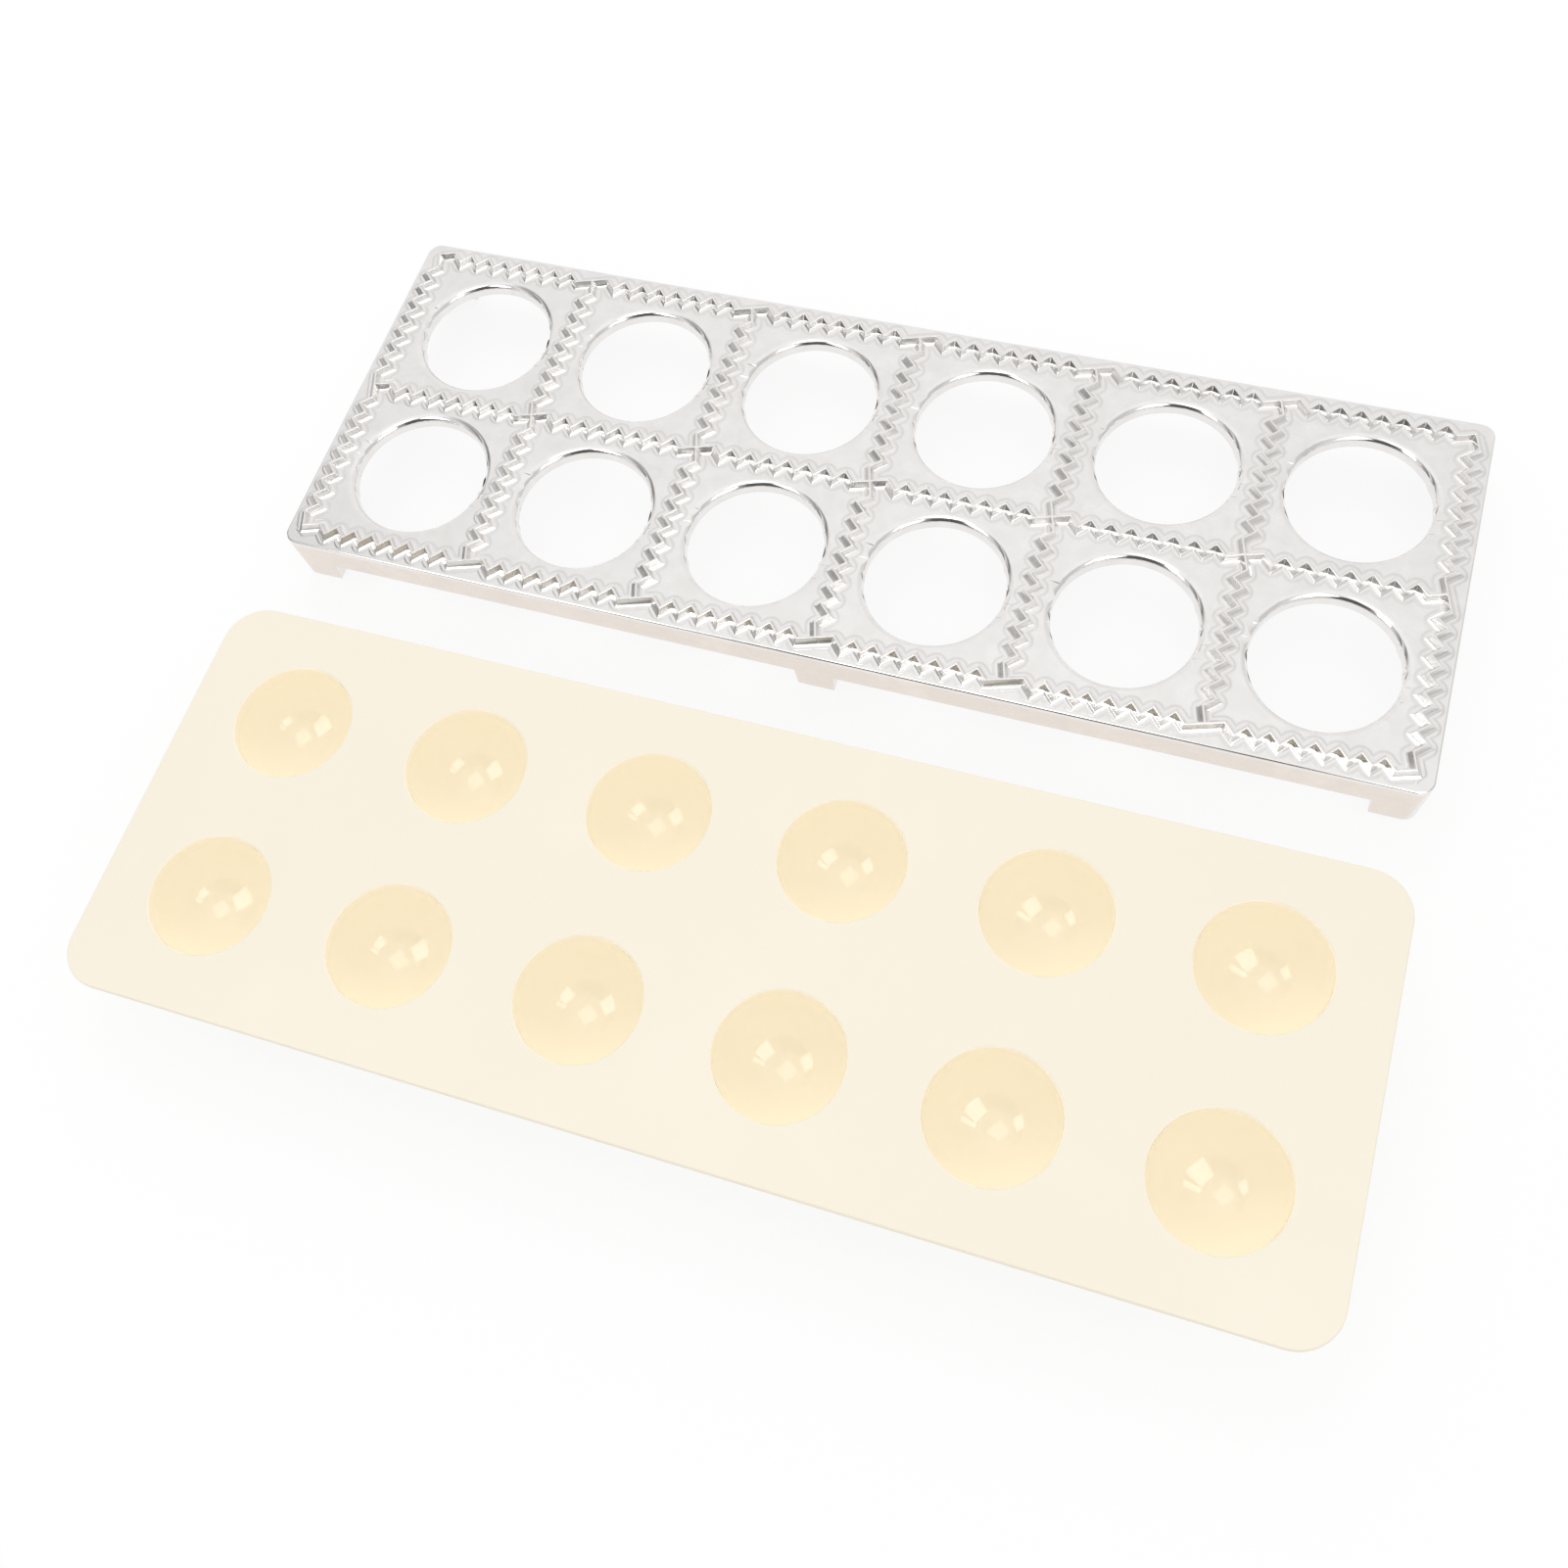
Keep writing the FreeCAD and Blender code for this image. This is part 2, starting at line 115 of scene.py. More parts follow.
# Brightness of the room as the metal mirrors it, by the angle in degrees round the table from +X
ROOM_TONES = (
    (-180, 0.16), (-166, 0.5), (-150, 0.85), (-130, 0.5), (-112, 0.14), (-100, 0.1), (-70, 0.1), (-54, 0.5),
    (-38, 0.9), (-15, 0.75), (0, 0.65), (25, 0.7), (60, 0.9), (110, 0.95), (150, 0.9), (166, 0.16), (180, 0.16),
)

# Size of that room, and the heights between which its walls fade into the white ceiling
ROOM_RADIUS = 0.7
ROOM_HEIGHT = 1.5
ROOM_SIDES = 96
WALL_TO_CEILING = (0.7, 1.25)

# Windows and lamps that show in the gloss: name, place, width, height and brightness
REFLECTED_LAMPS = (
    ("window_right", (0.224, -0.178, 0.211), 0.14, 0.16, 3.2),
    ("side_window_right", (0.262, -0.072, 0.225), 0.04, 0.15, 3.2),
    ("window_left", (-0.21, -0.213, 0.256), 0.15, 0.19, 3.2),
    ("ceiling_lamp", (-0.017, -0.074, 0.43), 0.2, 0.2, 2.0),
)

# Softbox behind the table, which lights the near walls of the hollows: place, width and height
BACK_SOFTBOX = ((-0.35, 0.9, 0.9), 0.8, 0.8)

# Point that every lamp is aimed at
LAMP_AIM = (0, -0.05, 0.01)

# Floor, just below the feet, and the share of it that is seen as white
FLOOR_SIZE = 6.0
FLOOR_DROP = 0.1 * MM
FLOOR_WHITE_SHARE = 0.85

# Camera, fitted to the outlines of both pieces
CAMERA_RIGHT = Vector((0.94687, 0.30185, -0.11105))
CAMERA_UP = Vector((-0.22996, 0.87676, 0.42239))
SENSOR_WIDTH = 36.0
CLIP_START = 0.01


# Colours and nodes

def linear(code):
    """A shader colour from an sRGB hex code."""
    channels = [int(code[i:i + 2], 16) / 255 for i in (0, 2, 4)]
    return (*((c / 12.92 if c <= 0.04045 else ((c + 0.055) / 1.055) ** 2.4) for c in channels), 1.0)


WHITE = linear("FFFFFF")


def add_node(tree, kind, inputs=None, **settings):
    """A node with its settings, and with values or links on its inputs."""
    node = tree.nodes.new(kind)
    for name, setting in settings.items():
        setattr(node, name, setting)
    for socket, source in (inputs or {}).items():
        if isinstance(source, bpy.types.NodeSocket):
            tree.links.new(source, node.inputs[socket])
        else:
            node.inputs[socket].default_value = source
    return node


def new_material(name):
    """A named material with an empty node tree."""
    material = bpy.data.materials.new(name)
    material.use_nodes = True
    material.node_tree.nodes.clear()
    return material, material.node_tree


# Sizes and colours that a user would change

class PressTray(bpy.types.PropertyGroup):
    """Finish of the cast tray"""
    crest_rounding: bpy.props.FloatProperty(
        name="Crest rounding", description="How far the crests of the zigzag ridges are rounded off",
        default=0.13 * MM, min=0.02 * MM, max=0.15 * MM, precision=5, unit="LENGTH")
    blotch_size: bpy.props.FloatProperty(
        name="Blotch size", description="Width of the dull and bright blotches of the casting",
        default=5 * MM, min=1 * MM, precision=4, unit="LENGTH")
    dark_tone: bpy.props.FloatVectorProperty(
        name="Dark tone", description="Colour of the duller blotches",
        default=linear("E6E3E1"), size=4, min=0.0, max=1.0, subtype="COLOR")
    light_tone: bpy.props.FloatVectorProperty(
        name="Light tone", description="Colour of the brighter blotches",
        default=linear("F8F6F4"), size=4, min=0.0, max=1.0, subtype="COLOR")
    # Painted reflection: a warm tint on the skirt and feet that stands in for warm light mirrored in them
    painted_reflection_tint: bpy.props.FloatVectorProperty(
        name="Side tint", description="Warm tint of the skirt and feet",
        default=linear("FBF3EC"), size=4, min=0.0, max=1.0, subtype="COLOR")


class PressPlate(bpy.types.PropertyGroup):
    """Finish of the moulded press plate"""
    grain_size: bpy.props.FloatProperty(
        name="Grain size", description="Width of one grain of the matte flat",
        default=0.7 * MM, min=0.1 * MM, precision=5, unit="LENGTH")
    dark_tone: bpy.props.FloatVectorProperty(
        name="Dark tone", description="Colour of the darker clouds of the flat",
        default=linear("E9E1CE"), size=4, min=0.0, max=1.0, subtype="COLOR")
    light_tone: bpy.props.FloatVectorProperty(
        name="Light tone", description="Colour of the lighter clouds of the flat",
        default=linear("ECE4D4"), size=4, min=0.0, max=1.0, subtype="COLOR")
    # Painted light: the hollows are coloured lighter than the flat, for light that shines through their thin
    # walls
    painted_hollow_light: bpy.props.FloatVectorProperty(
        name="Hollow tone", description="Colour of the thin walls of the hollows",
        default=linear("FFF6E0"), size=4, min=0.0, max=1.0, subtype="COLOR")


class PressStudio(bpy.types.PropertyGroup):
    """Floor, light and camera"""
    floor_tone: bpy.props.FloatVectorProperty(
        name="Floor tone", description="Colour of the paper floor",
        default=linear("F4F4F4"), size=4, min=0.0, max=1.0, subtype="COLOR")
    sky: bpy.props.FloatProperty(
        name="Sky light", description="Strength of the light from all round", default=1.03, min=0.0)
    back_light: bpy.props.FloatProperty(
        name="Back light", description="Brightness of the softbox behind the table", default=1.3, min=0.0)
    lens: bpy.props.FloatProperty(
        name="Lens", description="Focal length of the camera", default=37.07, min=1.0, unit="CAMERA")
    camera_place: bpy.props.FloatVectorProperty(
        name="Camera place", description="Where the camera stands",
        default=(0.094787, -0.174965, 0.378686), size=3, subtype="TRANSLATION")


# Where a point of the surface lies in the grid of cells

def places_in_plan(tree, position, middle):
    """Signed distances along X and Y from the middle of a piece."""
    split = add_node(tree, "ShaderNodeSeparateXYZ", {"Vector": position})
    return [add_node(tree, "ShaderNodeMath", {
        0: split.outputs[axis], 1: place}, operation="SUBTRACT").outputs[0]
        for axis, place in (("X", middle.x), ("Y", middle.y))]


def grid_offsets(tree, places):
    """Signed distances along X and Y from the nearest corner of the grid of cells."""
    return [add_node(tree, "ShaderNodeMath", {
        0: place, 1: PITCH / 2, 2: -PITCH / 2}, operation="WRAP").outputs[0] for place in places]


def distance_from_cell_axis(tree, offsets):
    """Distance from the upright axis through the middle of a cell."""
    sides = []
    for offset in offsets:
        size = add_node(tree, "ShaderNodeMath", {0: offset}, operation="ABSOLUTE")
        sides.append(add_node(tree, "ShaderNodeMath", {
            0: size.outputs[0], 1: PITCH / 2}, operation="SUBTRACT").outputs[0])
    flat = add_node(tree, "ShaderNodeCombineXYZ", {"X": sides[0], "Y": sides[1]})
    return add_node(tree, "ShaderNodeVectorMath", {0: flat.outputs[0]}, operation="LENGTH").outputs["Value"]


def distance_from_flank(tree, along, aside, start, run):
    """Distance in plan from one straight flank of a zigzag."""
    point = add_node(tree, "ShaderNodeCombineXYZ", {"X": along, "Y": aside})
    moved = add_node(tree, "ShaderNodeVectorMath", {0: point.outputs[0], 1: start}, operation="SUBTRACT")
    over = [size / run.length_squared for size in run]
    share = add_node(tree, "ShaderNodeVectorMath", {0: moved.outputs[0], 1: over}, operation="DOT_PRODUCT")
    held = add_node(tree, "ShaderNodeClamp", {"Value": share.outputs["Value"]})
    foot = add_node(tree, "ShaderNodeVectorMath", {0: run, "Scale": held.outputs[0]}, operation="SCALE")
    return add_node(tree, "ShaderNodeVectorMath", {
        0: moved.outputs[0], 1: foot.outputs[0]}, operation="DISTANCE").outputs["Value"]


def distance_from_zigzag(tree, along, aside):
    """Distance in plan from the middle of a ridge: short flanks, and a long one through each crossing."""
    size = add_node(tree, "ShaderNodeMath", {0: along}, operation="ABSOLUTE").outputs[0]
    side = add_node(tree, "ShaderNodeMath", {0: along}, operation="SIGN").outputs[0]
    turned = add_node(tree, "ShaderNodeMath", {0: aside, 1: side}, operation="MULTIPLY").outputs[0]
    past = add_node(tree, "ShaderNodeMath", {0: size, 1: CROSSING_HALF}, operation="SUBTRACT").outputs[0]
    fold = add_node(tree, "ShaderNodeMath", {0: past, 1: ZIGZAG_STEP}, operation="PINGPONG").outputs[0]
    folded = add_node(tree, "ShaderNodeMath", {0: past, 1: fold}, operation="MINIMUM").outputs[0]
    short = distance_from_flank(
        tree, folded, turned, (0, ZIGZAG_REACH, 0), Vector((ZIGZAG_STEP, -2 * ZIGZAG_REACH, 0)))
    long = distance_from_flank(tree, size, turned, (0, 0, 0), Vector((CROSSING_HALF, ZIGZAG_REACH, 0)))
    return add_node(tree, "ShaderNodeMath", {0: short, 1: long}, operation="MINIMUM").outputs[0]


def distance_from_ridges(tree, offsets, sizes):
    """Distance in plan from the nearest ridge of either direction, each of which stops at the last crossing."""
    x, y = offsets
    mirrored = add_node(tree, "ShaderNodeMath", {0: x, 1: -1.0}, operation="MULTIPLY").outputs[0]
    lines = (distance_from_zigzag(tree, x, y), distance_from_zigzag(tree, y, mirrored))
    gaps = []
    for line, size, end in zip(lines, sizes, LAST_CROSSING):
        past = add_node(tree, "ShaderNodeMath", {0: size, 1: end}, operation="SUBTRACT")
        over = add_node(tree, "ShaderNodeMath", {0: past.outputs[0], 1: 0.0}, operation="MAXIMUM")
        gaps.append(add_node(tree, "ShaderNodeMath", {0: line, 1: over.outputs[0]}, operation="ADD").outputs[0])
    return add_node(tree, "ShaderNodeMath", {0: gaps[0], 1: gaps[1]}, operation="MINIMUM").outputs[0]


def closeness_to_outline(tree, sizes):
    """1 at the outer face of the skirt and feet."""
    edges = [add_node(tree, "ShaderNodeMapRange", {
        "Value": size, "From Min": half - OUTLINE_BAND[0], "From Max": half - OUTLINE_BAND[1]},
        interpolation_type="SMOOTHSTEP").outputs["Result"] for size, half in zip(sizes, TRAY_HALF)]
    return add_node(tree, "ShaderNodeMath", {0: edges[0], 1: edges[1]}, operation="MAXIMUM").outputs[0]


def polish_of_casting(tree, height, offsets, at_outline):
    """1 on the hole lips and along the top edge of the skirt, which are polished bright."""
    on_lip = add_node(tree, "ShaderNodeMapRange", {
        "Value": distance_from_cell_axis(tree, offsets), "From Min": LIP_OUTER + LIP_BAND[0],
        "From Max": LIP_OUTER + LIP_BAND[1]}, interpolation_type="SMOOTHSTEP")
    high = add_node(tree, "ShaderNodeMapRange", {
        "Value": height, "From Min": DECK_TOP - POLISHED_EDGE_BAND[0],
        "From Max": DECK_TOP - POLISHED_EDGE_BAND[1]}, interpolation_type="SMOOTHSTEP")
    on_edge = add_node(tree, "ShaderNodeMath", {
        0: at_outline, 1: high.outputs["Result"]}, operation="MULTIPLY")
    return add_node(tree, "ShaderNodeMath", {
        0: on_lip.outputs["Result"], 1: on_edge.outputs[0]}, operation="MAXIMUM").outputs[0]


def painted_shade_line(tree, height, from_ridge):
    """1 along the painted shade line that follows the step round the ridges on the deck."""
    from_line = add_node(tree, "ShaderNodeMath", {0: from_ridge, 1: BORDER_REACH}, operation="SUBTRACT")
    gap = add_node(tree, "ShaderNodeMath", {0: from_line.outputs[0]}, operation="ABSOLUTE")
    line = add_node(tree, "ShaderNodeMapRange", {
        "Value": gap.outputs[0], "From Min": LINE_HALF, "From Max": 0.0}, interpolation_type="SMOOTHSTEP")
    on_deck = add_node(tree, "ShaderNodeMapRange", {
        "Value": height, "From Min": DECK_TOP - DECK_BAND[0], "From Max": DECK_TOP - DECK_BAND[1]},
        interpolation_type="SMOOTHSTEP")
    return add_node(tree, "ShaderNodeMath", {
        0: line.outputs["Result"], 1: on_deck.outputs["Result"]}, operation="MULTIPLY").outputs[0]


# Finishes

def cast_aluminium(settings):
    """Die-cast aluminium, tumbled and then polished on its lips."""
    # Tumbling leaves a bright satin with soft dull blotches and a fine relief. The lips and the top edge mirror
    # the room sharply, and the skirt and feet are tinted warm, a painted reflection of warm light mirrored in
    # them. A shallow step follows the ridges, with a painted shade line along it.
    material, tree = new_material("die_cast_aluminium_satin")
    position = add_node(tree, "ShaderNodeTexCoord").outputs["Object"]
    places = places_in_plan(tree, position, TRAY_MIDDLE)
    offsets = grid_offsets(tree, places)
    sizes = [add_node(tree, "ShaderNodeMath", {0: place}, operation="ABSOLUTE").outputs[0] for place in places]
    height = add_node(tree, "ShaderNodeSeparateXYZ", {"Vector": position}).outputs["Z"]
    at_outline = closeness_to_outline(tree, sizes)
    polished = polish_of_casting(tree, height, offsets, at_outline)
    from_ridge = distance_from_ridges(tree, offsets, sizes)
    in_shade_line = painted_shade_line(tree, height, from_ridge)
    blotches = add_node(tree, "ShaderNodeTexNoise", {
        "Vector": position, "Scale": 1 / settings.blotch_size, "Detail": 3.0, "Roughness": 0.55,
        "Distortion": 0.4})
    grit = add_node(tree, "ShaderNodeTexNoise", {
        "Vector": position, "Scale": 1 / GRIT_SIZE, "Detail": 2.0, "Roughness": 0.5})

    satin = add_node(tree, "ShaderNodeMapRange", {
        "Value": blotches.outputs["Fac"], "From Min": BLOTCH_RANGE[0], "From Max": BLOTCH_RANGE[1],
        "To Min": SATIN_ROUGHNESS[0], "To Max": SATIN_ROUGHNESS[1]})
    rough = add_node(tree, "ShaderNodeMix", {
        "Factor": polished, "A": satin.outputs["Result"], "B": POLISH_ROUGHNESS}, data_type="FLOAT")
    mottled = add_node(tree, "ShaderNodeMix", {
        "Factor": blotches.outputs["Fac"], "A": settings.dark_tone, "B": settings.light_tone}, data_type="RGBA")
    # Painted reflection: below the deck edge the skirt and feet are tinted warm, for the warm light they mirror
    below_edge = add_node(tree, "ShaderNodeMapRange", {
        "Value": height, "From Min": DECK_TOP - PAINTED_REFLECTION_BAND[0],
        "From Max": DECK_TOP - PAINTED_REFLECTION_BAND[1]}, interpolation_type="SMOOTHSTEP")
    painted_reflection_mask = add_node(tree, "ShaderNodeMath", {
        0: at_outline, 1: below_edge.outputs["Result"]}, operation="MULTIPLY")
    reflection_tinted = add_node(tree, "ShaderNodeMix", {
        "Factor": painted_reflection_mask.outputs[0], "A": mottled.outputs["Result"], "B": settings.painted_reflection_tint},
        data_type="RGBA", blend_type="MULTIPLY")
    # Painted shade: the base colour is darkened along the line that follows the step round the ridges
    shade = add_node(tree, "ShaderNodeMapRange", {"Value": in_shade_line, "To Min": 1.0, "To Max": PAINTED_LINE_SHADE})
    tone = add_node(tree, "ShaderNodeVectorMath", {
        0: reflection_tinted.outputs["Result"], "Scale": shade.outputs["Result"]}, operation="SCALE")

    near_ridge = add_node(tree, "ShaderNodeMapRange", {
        "Value": from_ridge, "From Min": BORDER_REACH + BORDER_BLUR,
        "From Max": BORDER_REACH - BORDER_BLUR}, interpolation_type="SMOOTHSTEP")
    step = add_node(tree, "ShaderNodeBump", {"Distance": STEP_HEIGHT, "Height": near_ridge.outputs["Result"]})
    relief = add_node(tree, "ShaderNodeMix", {
        "Factor": GRIT_SHARE, "A": blotches.outputs["Fac"], "B": grit.outputs["Fac"]}, data_type="FLOAT")
    coarseness = add_node(tree, "ShaderNodeMapRange", {
        "Value": polished, "To Min": SATIN_RELIEF, "To Max": POLISH_RELIEF})
    bump = add_node(tree, "ShaderNodeBump", {
        "Strength": coarseness.outputs["Result"], "Distance": RELIEF_HEIGHT, "Height": relief.outputs["Result"],
        "Normal": step.outputs["Normal"]})
    shader = add_node(tree, "ShaderNodeBsdfPrincipled", {
        "Base Color": tone.outputs["Vector"], "Metallic": 1.0,
        "Roughness": rough.outputs["Result"], "Normal": bump.outputs["Normal"]})
    add_node(tree, "ShaderNodeOutputMaterial", {"Surface": shader.outputs["BSDF"]})
    return material


def cream_plastic(settings):
    """Injection-moulded cream plastic, as polypropylene is."""
    # The spark-eroded mould leaves a matte grain on the flat, drawn a little coarser than it is so that it
    # shows. The polished punches leave the hollows glossy. The hollows are painted lighter and a little warmer
    # than the flat, a painted light that stands in for light shining through their thin walls.
    material, tree = new_material("moulded_cream_plastic")
    position = add_node(tree, "ShaderNodeTexCoord").outputs["Object"]
    offsets = grid_offsets(tree, places_in_plan(tree, position, PLATE_MIDDLE))
    in_hollow = add_node(tree, "ShaderNodeMapRange", {
        "Value": distance_from_cell_axis(tree, offsets), "From Min": HOLLOW_BAND[0],
        "From Max": HOLLOW_BAND[1]}, interpolation_type="SMOOTHSTEP").outputs["Result"]
    clouds = add_node(tree, "ShaderNodeTexNoise", {"Vector": position, "Scale": 1 / CLOUD_SIZE, "Detail": 2.0})
    grain = add_node(tree, "ShaderNodeTexVoronoi", {"Vector": position, "Scale": 1 / settings.grain_size})
    flat = add_node(tree, "ShaderNodeMix", {
        "Factor": clouds.outputs["Fac"], "A": settings.dark_tone, "B": settings.light_tone}, data_type="RGBA")
    # Painted light: the hollows take a lighter tone, for light through their thin walls
    tone = add_node(tree, "ShaderNodeMix", {
        "Factor": in_hollow, "A": flat.outputs["Result"], "B": settings.painted_hollow_light}, data_type="RGBA")
    rough = add_node(tree, "ShaderNodeMix", {
        "Factor": in_hollow, "A": FLAT_ROUGHNESS, "B": HOLLOW_ROUGHNESS}, data_type="FLOAT")
    coarseness = add_node(tree, "ShaderNodeMapRange", {
        "Value": in_hollow, "To Min": GRAIN_RELIEF, "To Max": 0.0})
    bump = add_node(tree, "ShaderNodeBump", {
        "Strength": coarseness.outputs["Result"], "Distance": GRAIN_HEIGHT,
        "Height": grain.outputs["Distance"]})
    shader = add_node(tree, "ShaderNodeBsdfPrincipled", {
        "Base Color": tone.outputs["Result"], "IOR": PLASTIC_IOR,
        "Roughness": rough.outputs["Result"], "Normal": bump.outputs["Normal"]})
    add_node(tree, "ShaderNodeOutputMaterial", {"Surface": shader.outputs["BSDF"]})
    return material


# Cast tray

def select_ridge_faces(mesh):
    """Select the flanks and crests of the ridges, which are the faces that reach above the deck."""
    bpy.ops.mesh.select_mode(type="FACE")
    bpy.ops.mesh.select_all(action="DESELECT")
    bpy.ops.object.mode_set(mode="OBJECT")
    for face in mesh.polygons:
        face.select = max(mesh.vertices[i].co.z for i in face.vertices) > DECK_TOP + LEVEL
    bpy.ops.object.mode_set(mode="EDIT")


def select_crest_edges(mesh):
    """Select the sharp edges along the crests of the ridges."""
    bpy.ops.mesh.select_mode(type="EDGE")
    bpy.ops.mesh.select_all(action="DESELECT")
    bpy.ops.mesh.edges_select_sharp(sharpness=CREST_ANGLE)
    bpy.ops.object.mode_set(mode="OBJECT")
    for edge in mesh.edges:
        edge.select = edge.select and min(mesh.vertices[i].co.z for i in edge.vertices) > RIDGE_TOP - LEVEL
    bpy.ops.object.mode_set(mode="EDIT")


def rounded_casting(node, rounding):
    """The cast tray with the crests of its ridges rounded off, as a casting's are."""
    bpy.ops.object.select_all(action="DESELECT")
    node.select_set(True)
    bpy.context.view_layer.objects.active = node
    bpy.ops.object.duplicate()
    tray = bpy.context.object
    tray.name = "tray_casting"
    bpy.ops.mesh.customdata_custom_splitnormals_clear()
    bpy.ops.object.mode_set(mode="EDIT")
    bpy.ops.mesh.select_all(action="SELECT")
    bpy.ops.mesh.remove_doubles(threshold=WELD_GAP)
    select_ridge_faces(tray.data)
    bpy.ops.mesh.dissolve_limited(angle_limit=FLAT_ANGLE)
    select_crest_edges(tray.data)
    bpy.ops.mesh.bevel(offset=rounding, segments=CREST_SEGMENTS, affect="EDGES")
    bpy.ops.object.mode_set(mode="OBJECT")
    bpy.ops.object.shade_smooth_by_angle(angle=SMOOTH_ANGLE)
    tray.modifiers.new("even_shading", "WEIGHTED_NORMAL").keep_sharp = True
    bpy.ops.object.modifier_apply(modifier="even_shading")
    return tray


class PRESS_OT_tray(bpy.types.Operator):
    """Round off and finish the cast tray"""
    bl_idname = "press.tray"
    bl_label = "Cast tray"

    def execute(self, context):
        settings = context.scene.press_tray
        tray = rounded_casting(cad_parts["ravioli_tray"], settings.crest_rounding)
        tray.data.materials.clear()
        tray.data.materials.append(cast_aluminium(settings))
        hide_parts("ravioli_tray")
        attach(tray, "tray")
        return {"FINISHED"}


# Press plate

class PRESS_OT_plate(bpy.types.Operator):
    """Finish the moulded press plate"""
    bl_idname = "press.plate"
    bl_label = "Press plate"

    def execute(self, context):
        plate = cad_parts["press_plate"]
        plate.data.materials.clear()
        plate.data.materials.append(cream_plastic(context.scene.press_plate))
        return {"FINISHED"}


# Studio

def white_for_the_eye(tree):
    """1 for camera, glossy and transmitted rays, which see the backdrop as white."""
    rays = add_node(tree, "ShaderNodeLightPath")
    first = add_node(tree, "ShaderNodeMath", {
        0: rays.outputs["Is Camera Ray"], 1: rays.outputs["Is Glossy Ray"]}, operation="MAXIMUM")
    return add_node(tree, "ShaderNodeMath", {
        0: first.outputs[0], 1: rays.outputs["Is Transmission Ray"]}, operation="MAXIMUM").outputs[0]


def add_floor(tone):
    """A white paper floor that keeps the shadow of the press."""
    bpy.ops.object.select_all(action="DESELECT")
    bpy.ops.mesh.primitive_plane_add(size=FLOOR_SIZE, location=(0, 0, -FLOOR_DROP))
    floor = bpy.context.object
    floor.name = "floor"
    bpy.ops.object.transform_apply(location=True, rotation=True, scale=True)
    material, tree = new_material("white_paper_floor")
    share = add_node(tree, "ShaderNodeMath", {
        0: white_for_the_eye(tree), 1: FLOOR_WHITE_SHARE}, operation="MULTIPLY")
    paper = add_node(tree, "ShaderNodeBsdfDiffuse", {"Color": tone})
    glow = add_node(tree, "ShaderNodeEmission", {"Color": WHITE, "Strength": 1.0})
    mixed = add_node(tree, "ShaderNodeMixShader", {
        0: share.outputs[0], 1: paper.outputs[0], 2: glow.outputs[0]})
    add_node(tree, "ShaderNodeOutputMaterial", {"Surface": mixed.outputs[0]})
    floor.data.materials.append(material)


def add_sky(scene, light):
    """Even light from all round, seen as white."""
    world = bpy.data.worlds.new("white_room")
    scene.world = world
    world.use_nodes = True
    tree = world.node_tree
    tree.nodes.clear()
    strength = add_node(tree, "ShaderNodeMix", {
        "Factor": white_for_the_eye(tree), "A": light, "B": 1.0}, data_type="FLOAT")
    sky = add_node(tree, "ShaderNodeBackground", {"Color": WHITE, "Strength": strength.outputs["Result"]})
    add_node(tree, "ShaderNodeOutputWorld", {"Surface": sky.outputs[0]})


def add_softbox(name, place, width, height, brightness):
    """An area lamp that looks as bright as given, aimed at the press."""
    data = bpy.data.lights.new(name, "AREA")
    data.shape = "RECTANGLE"
    data.size = width
    data.size_y = height
    data.energy = brightness * width * height * math.pi
    lamp = bpy.data.objects.new(name, data)
    bpy.context.scene.collection.objects.link(lamp)
    lamp.location = place
    lamp.rotation_euler = (Vector(LAMP_AIM) - Vector(place)).to_track_quat("-Z", "Y").to_euler()
    return lamp


def add_surround():
    """The room round the table, which only shows as a reflection: dark in front and on the left."""
    bpy.ops.object.select_all(action="DESELECT")
    bpy.ops.mesh.primitive_cylinder_add(
        vertices=ROOM_SIDES, radius=ROOM_RADIUS, depth=ROOM_HEIGHT, end_fill_type="NOTHING",
        location=(0, 0, ROOM_HEIGHT / 2))
    room = bpy.context.object
    room.name = "surround"
    bpy.ops.object.transform_apply(location=True, rotation=True, scale=True)
    material, tree = new_material("painted_room")
    position = add_node(tree, "ShaderNodeTexCoord").outputs["Object"]
    split = add_node(tree, "ShaderNodeSeparateXYZ", {"Vector": position})
    angle = add_node(tree, "ShaderNodeMath", {
        0: split.outputs["Y"], 1: split.outputs["X"]}, operation="ARCTAN2")
    turn = add_node(tree, "ShaderNodeMapRange", {
        "Value": angle.outputs[0], "From Min": -math.pi, "From Max": math.pi})
    walls = add_node(tree, "ShaderNodeValToRGB", {"Fac": turn.outputs["Result"]})
    stops = walls.color_ramp.elements
    for degrees, brightness in ROOM_TONES:
        stops.new((degrees + 180) / 360).color = (brightness, brightness, brightness, 1.0)
    stops.remove(stops[0])
    stops.remove(stops[-1])
    rise = add_node(tree, "ShaderNodeMapRange", {
        "Value": split.outputs["Z"], "From Min": WALL_TO_CEILING[0], "From Max": WALL_TO_CEILING[1]},
        interpolation_type="SMOOTHSTEP")
    tone = add_node(tree, "ShaderNodeMix", {
        "Factor": rise.outputs["Result"], "A": walls.outputs["Color"], "B": WHITE}, data_type="RGBA")
    glow = add_node(tree, "ShaderNodeEmission", {"Color": tone.outputs["Result"], "Strength": 1.0})
    add_node(tree, "ShaderNodeOutputMaterial", {"Surface": glow.outputs[0]})
    room.data.materials.append(material)
    room.visible_camera = False
    room.visible_diffuse = False
    room.visible_transmission = False
    room.visible_shadow = False


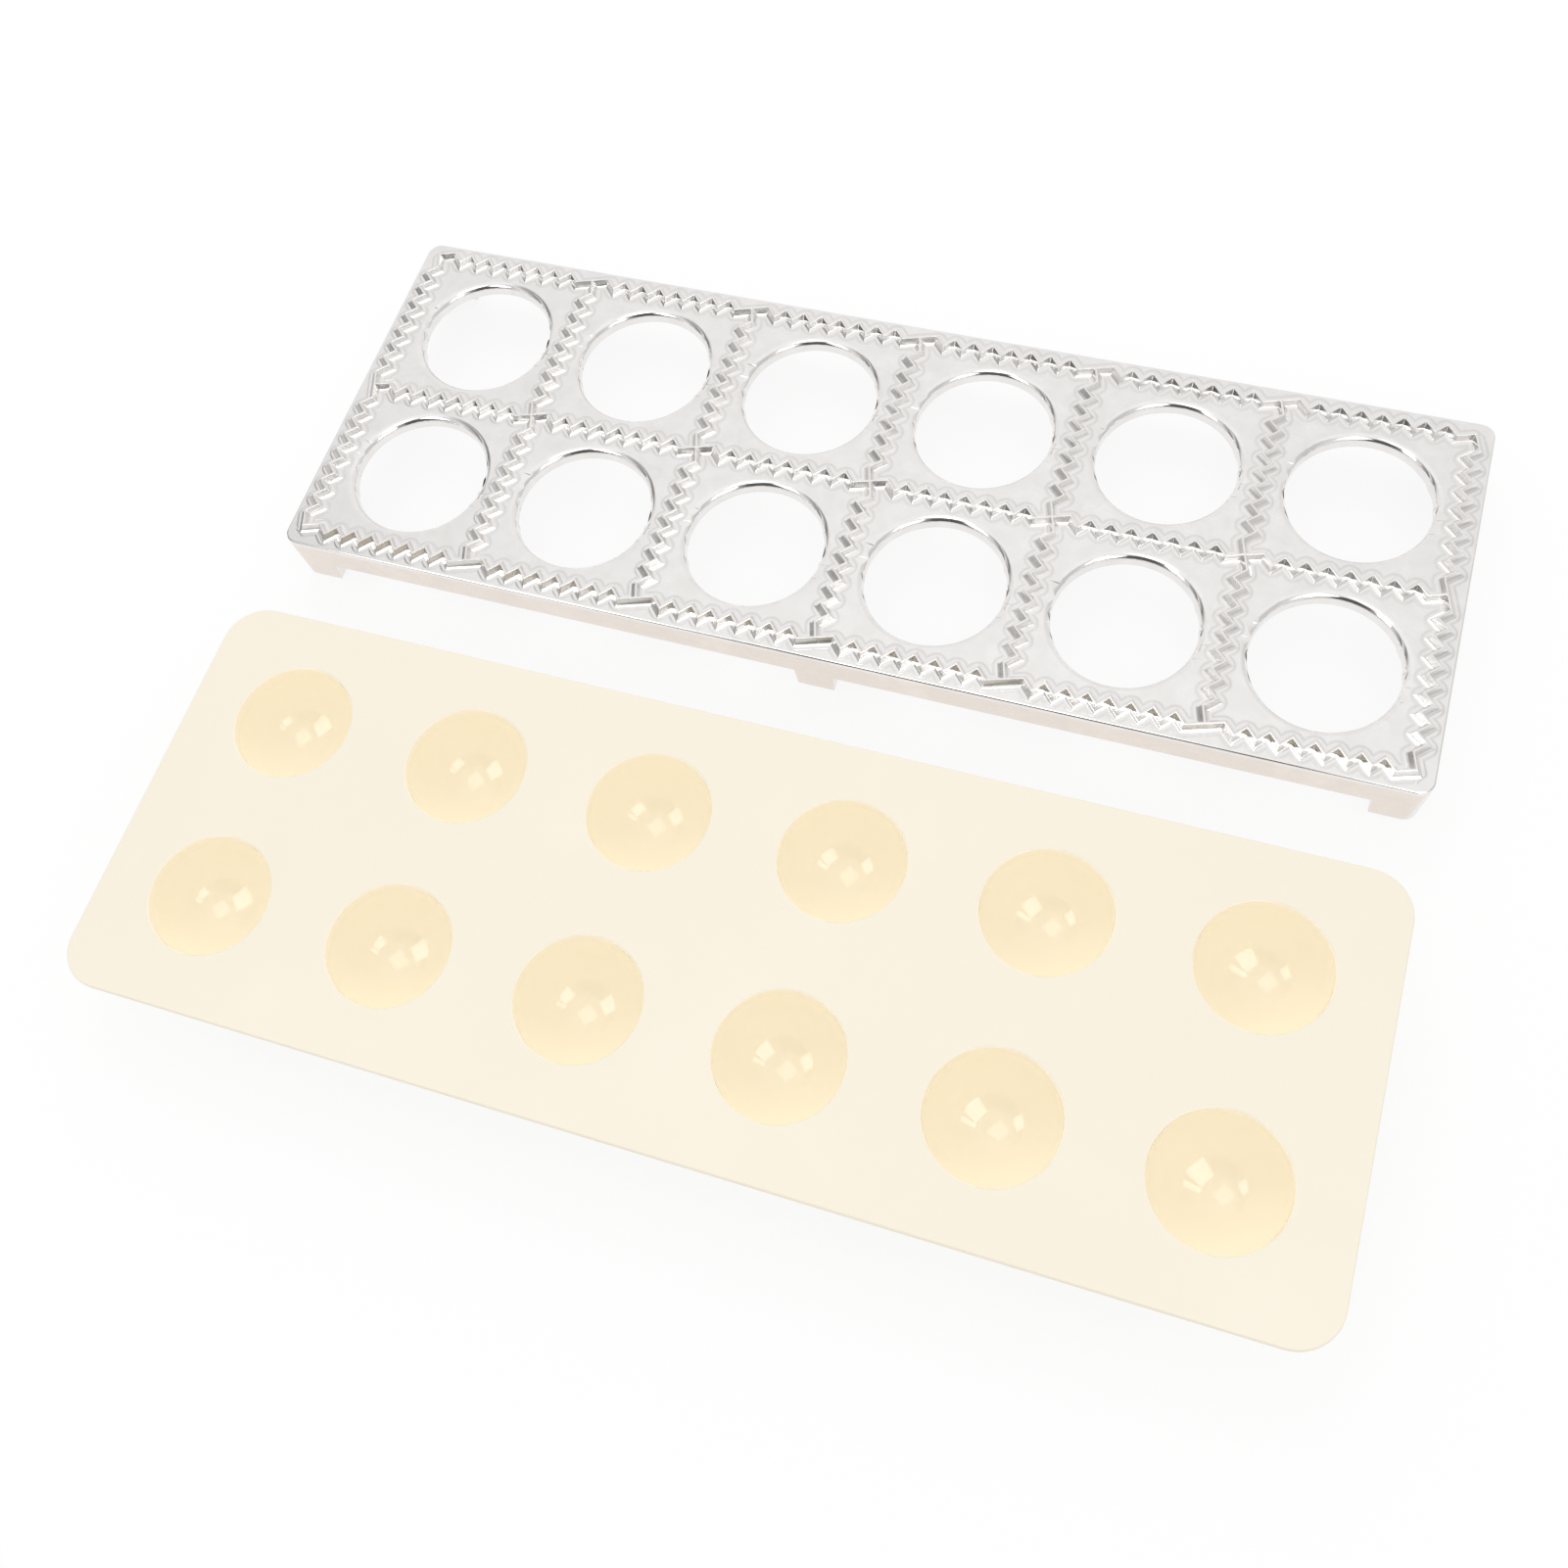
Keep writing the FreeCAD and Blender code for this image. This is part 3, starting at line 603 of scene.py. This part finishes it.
def add_camera(scene, place, lens):
    """The camera, which looks down at the press from the right."""
    data = bpy.data.cameras.new("camera")
    data.lens = lens
    data.sensor_width = SENSOR_WIDTH
    data.clip_start = CLIP_START
    camera = bpy.data.objects.new("camera", data)
    scene.collection.objects.link(camera)
    turn = Matrix((CAMERA_RIGHT, CAMERA_UP, CAMERA_RIGHT.cross(CAMERA_UP))).transposed().to_4x4()
    camera.matrix_world = Matrix.Translation(Vector(place)) @ turn
    scene.camera = camera


class PRESS_OT_studio(bpy.types.Operator):
    """Set up the floor, the light and the camera"""
    bl_idname = "press.studio"
    bl_label = "Studio"

    def execute(self, context):
        scene = context.scene
        settings = scene.press_studio
        add_floor(settings.floor_tone)
        add_sky(scene, settings.sky)
        for name, place, width, height, brightness in REFLECTED_LAMPS:
            add_softbox(name, place, width, height, brightness).visible_diffuse = False
        add_softbox("back_softbox", *BACK_SOFTBOX, settings.back_light).visible_glossy = False
        add_surround()
        add_camera(scene, settings.camera_place, settings.lens)
        scene.view_settings.view_transform = "Standard"
        return {"FINISHED"}


class PRESS_PT_panel(bpy.types.Panel):
    """Sizes, colours and steps of the ravioli press"""
    bl_idname = "PRESS_PT_panel"
    bl_label = "Ravioli Press"
    bl_space_type = "VIEW_3D"
    bl_region_type = "UI"
    bl_category = "Ravioli Press"

    def draw(self, context):
        for operator, settings in STEPS.items():
            box = self.layout.box()
            for name in SETTINGS[settings].__annotations__:
                box.prop(getattr(context.scene, settings), name)
            box.operator(operator.bl_idname)


SETTINGS = {"press_tray": PressTray, "press_plate": PressPlate, "press_studio": PressStudio}
STEPS = {PRESS_OT_tray: "press_tray", PRESS_OT_plate: "press_plate", PRESS_OT_studio: "press_studio"}
CLASSES = (*SETTINGS.values(), *STEPS, PRESS_PT_panel)


def register():
    for cls in CLASSES:
        bpy.utils.register_class(cls)
    for name, group in SETTINGS.items():
        setattr(bpy.types.Scene, name, bpy.props.PointerProperty(type=group))


def unregister():
    for name in SETTINGS:
        delattr(bpy.types.Scene, name)
    for cls in reversed(CLASSES):
        bpy.utils.unregister_class(cls)


def main():
    register()
    bpy.ops.press.tray()
    bpy.ops.press.plate()
    bpy.ops.press.studio()


if __name__ == "__main__":
    main()
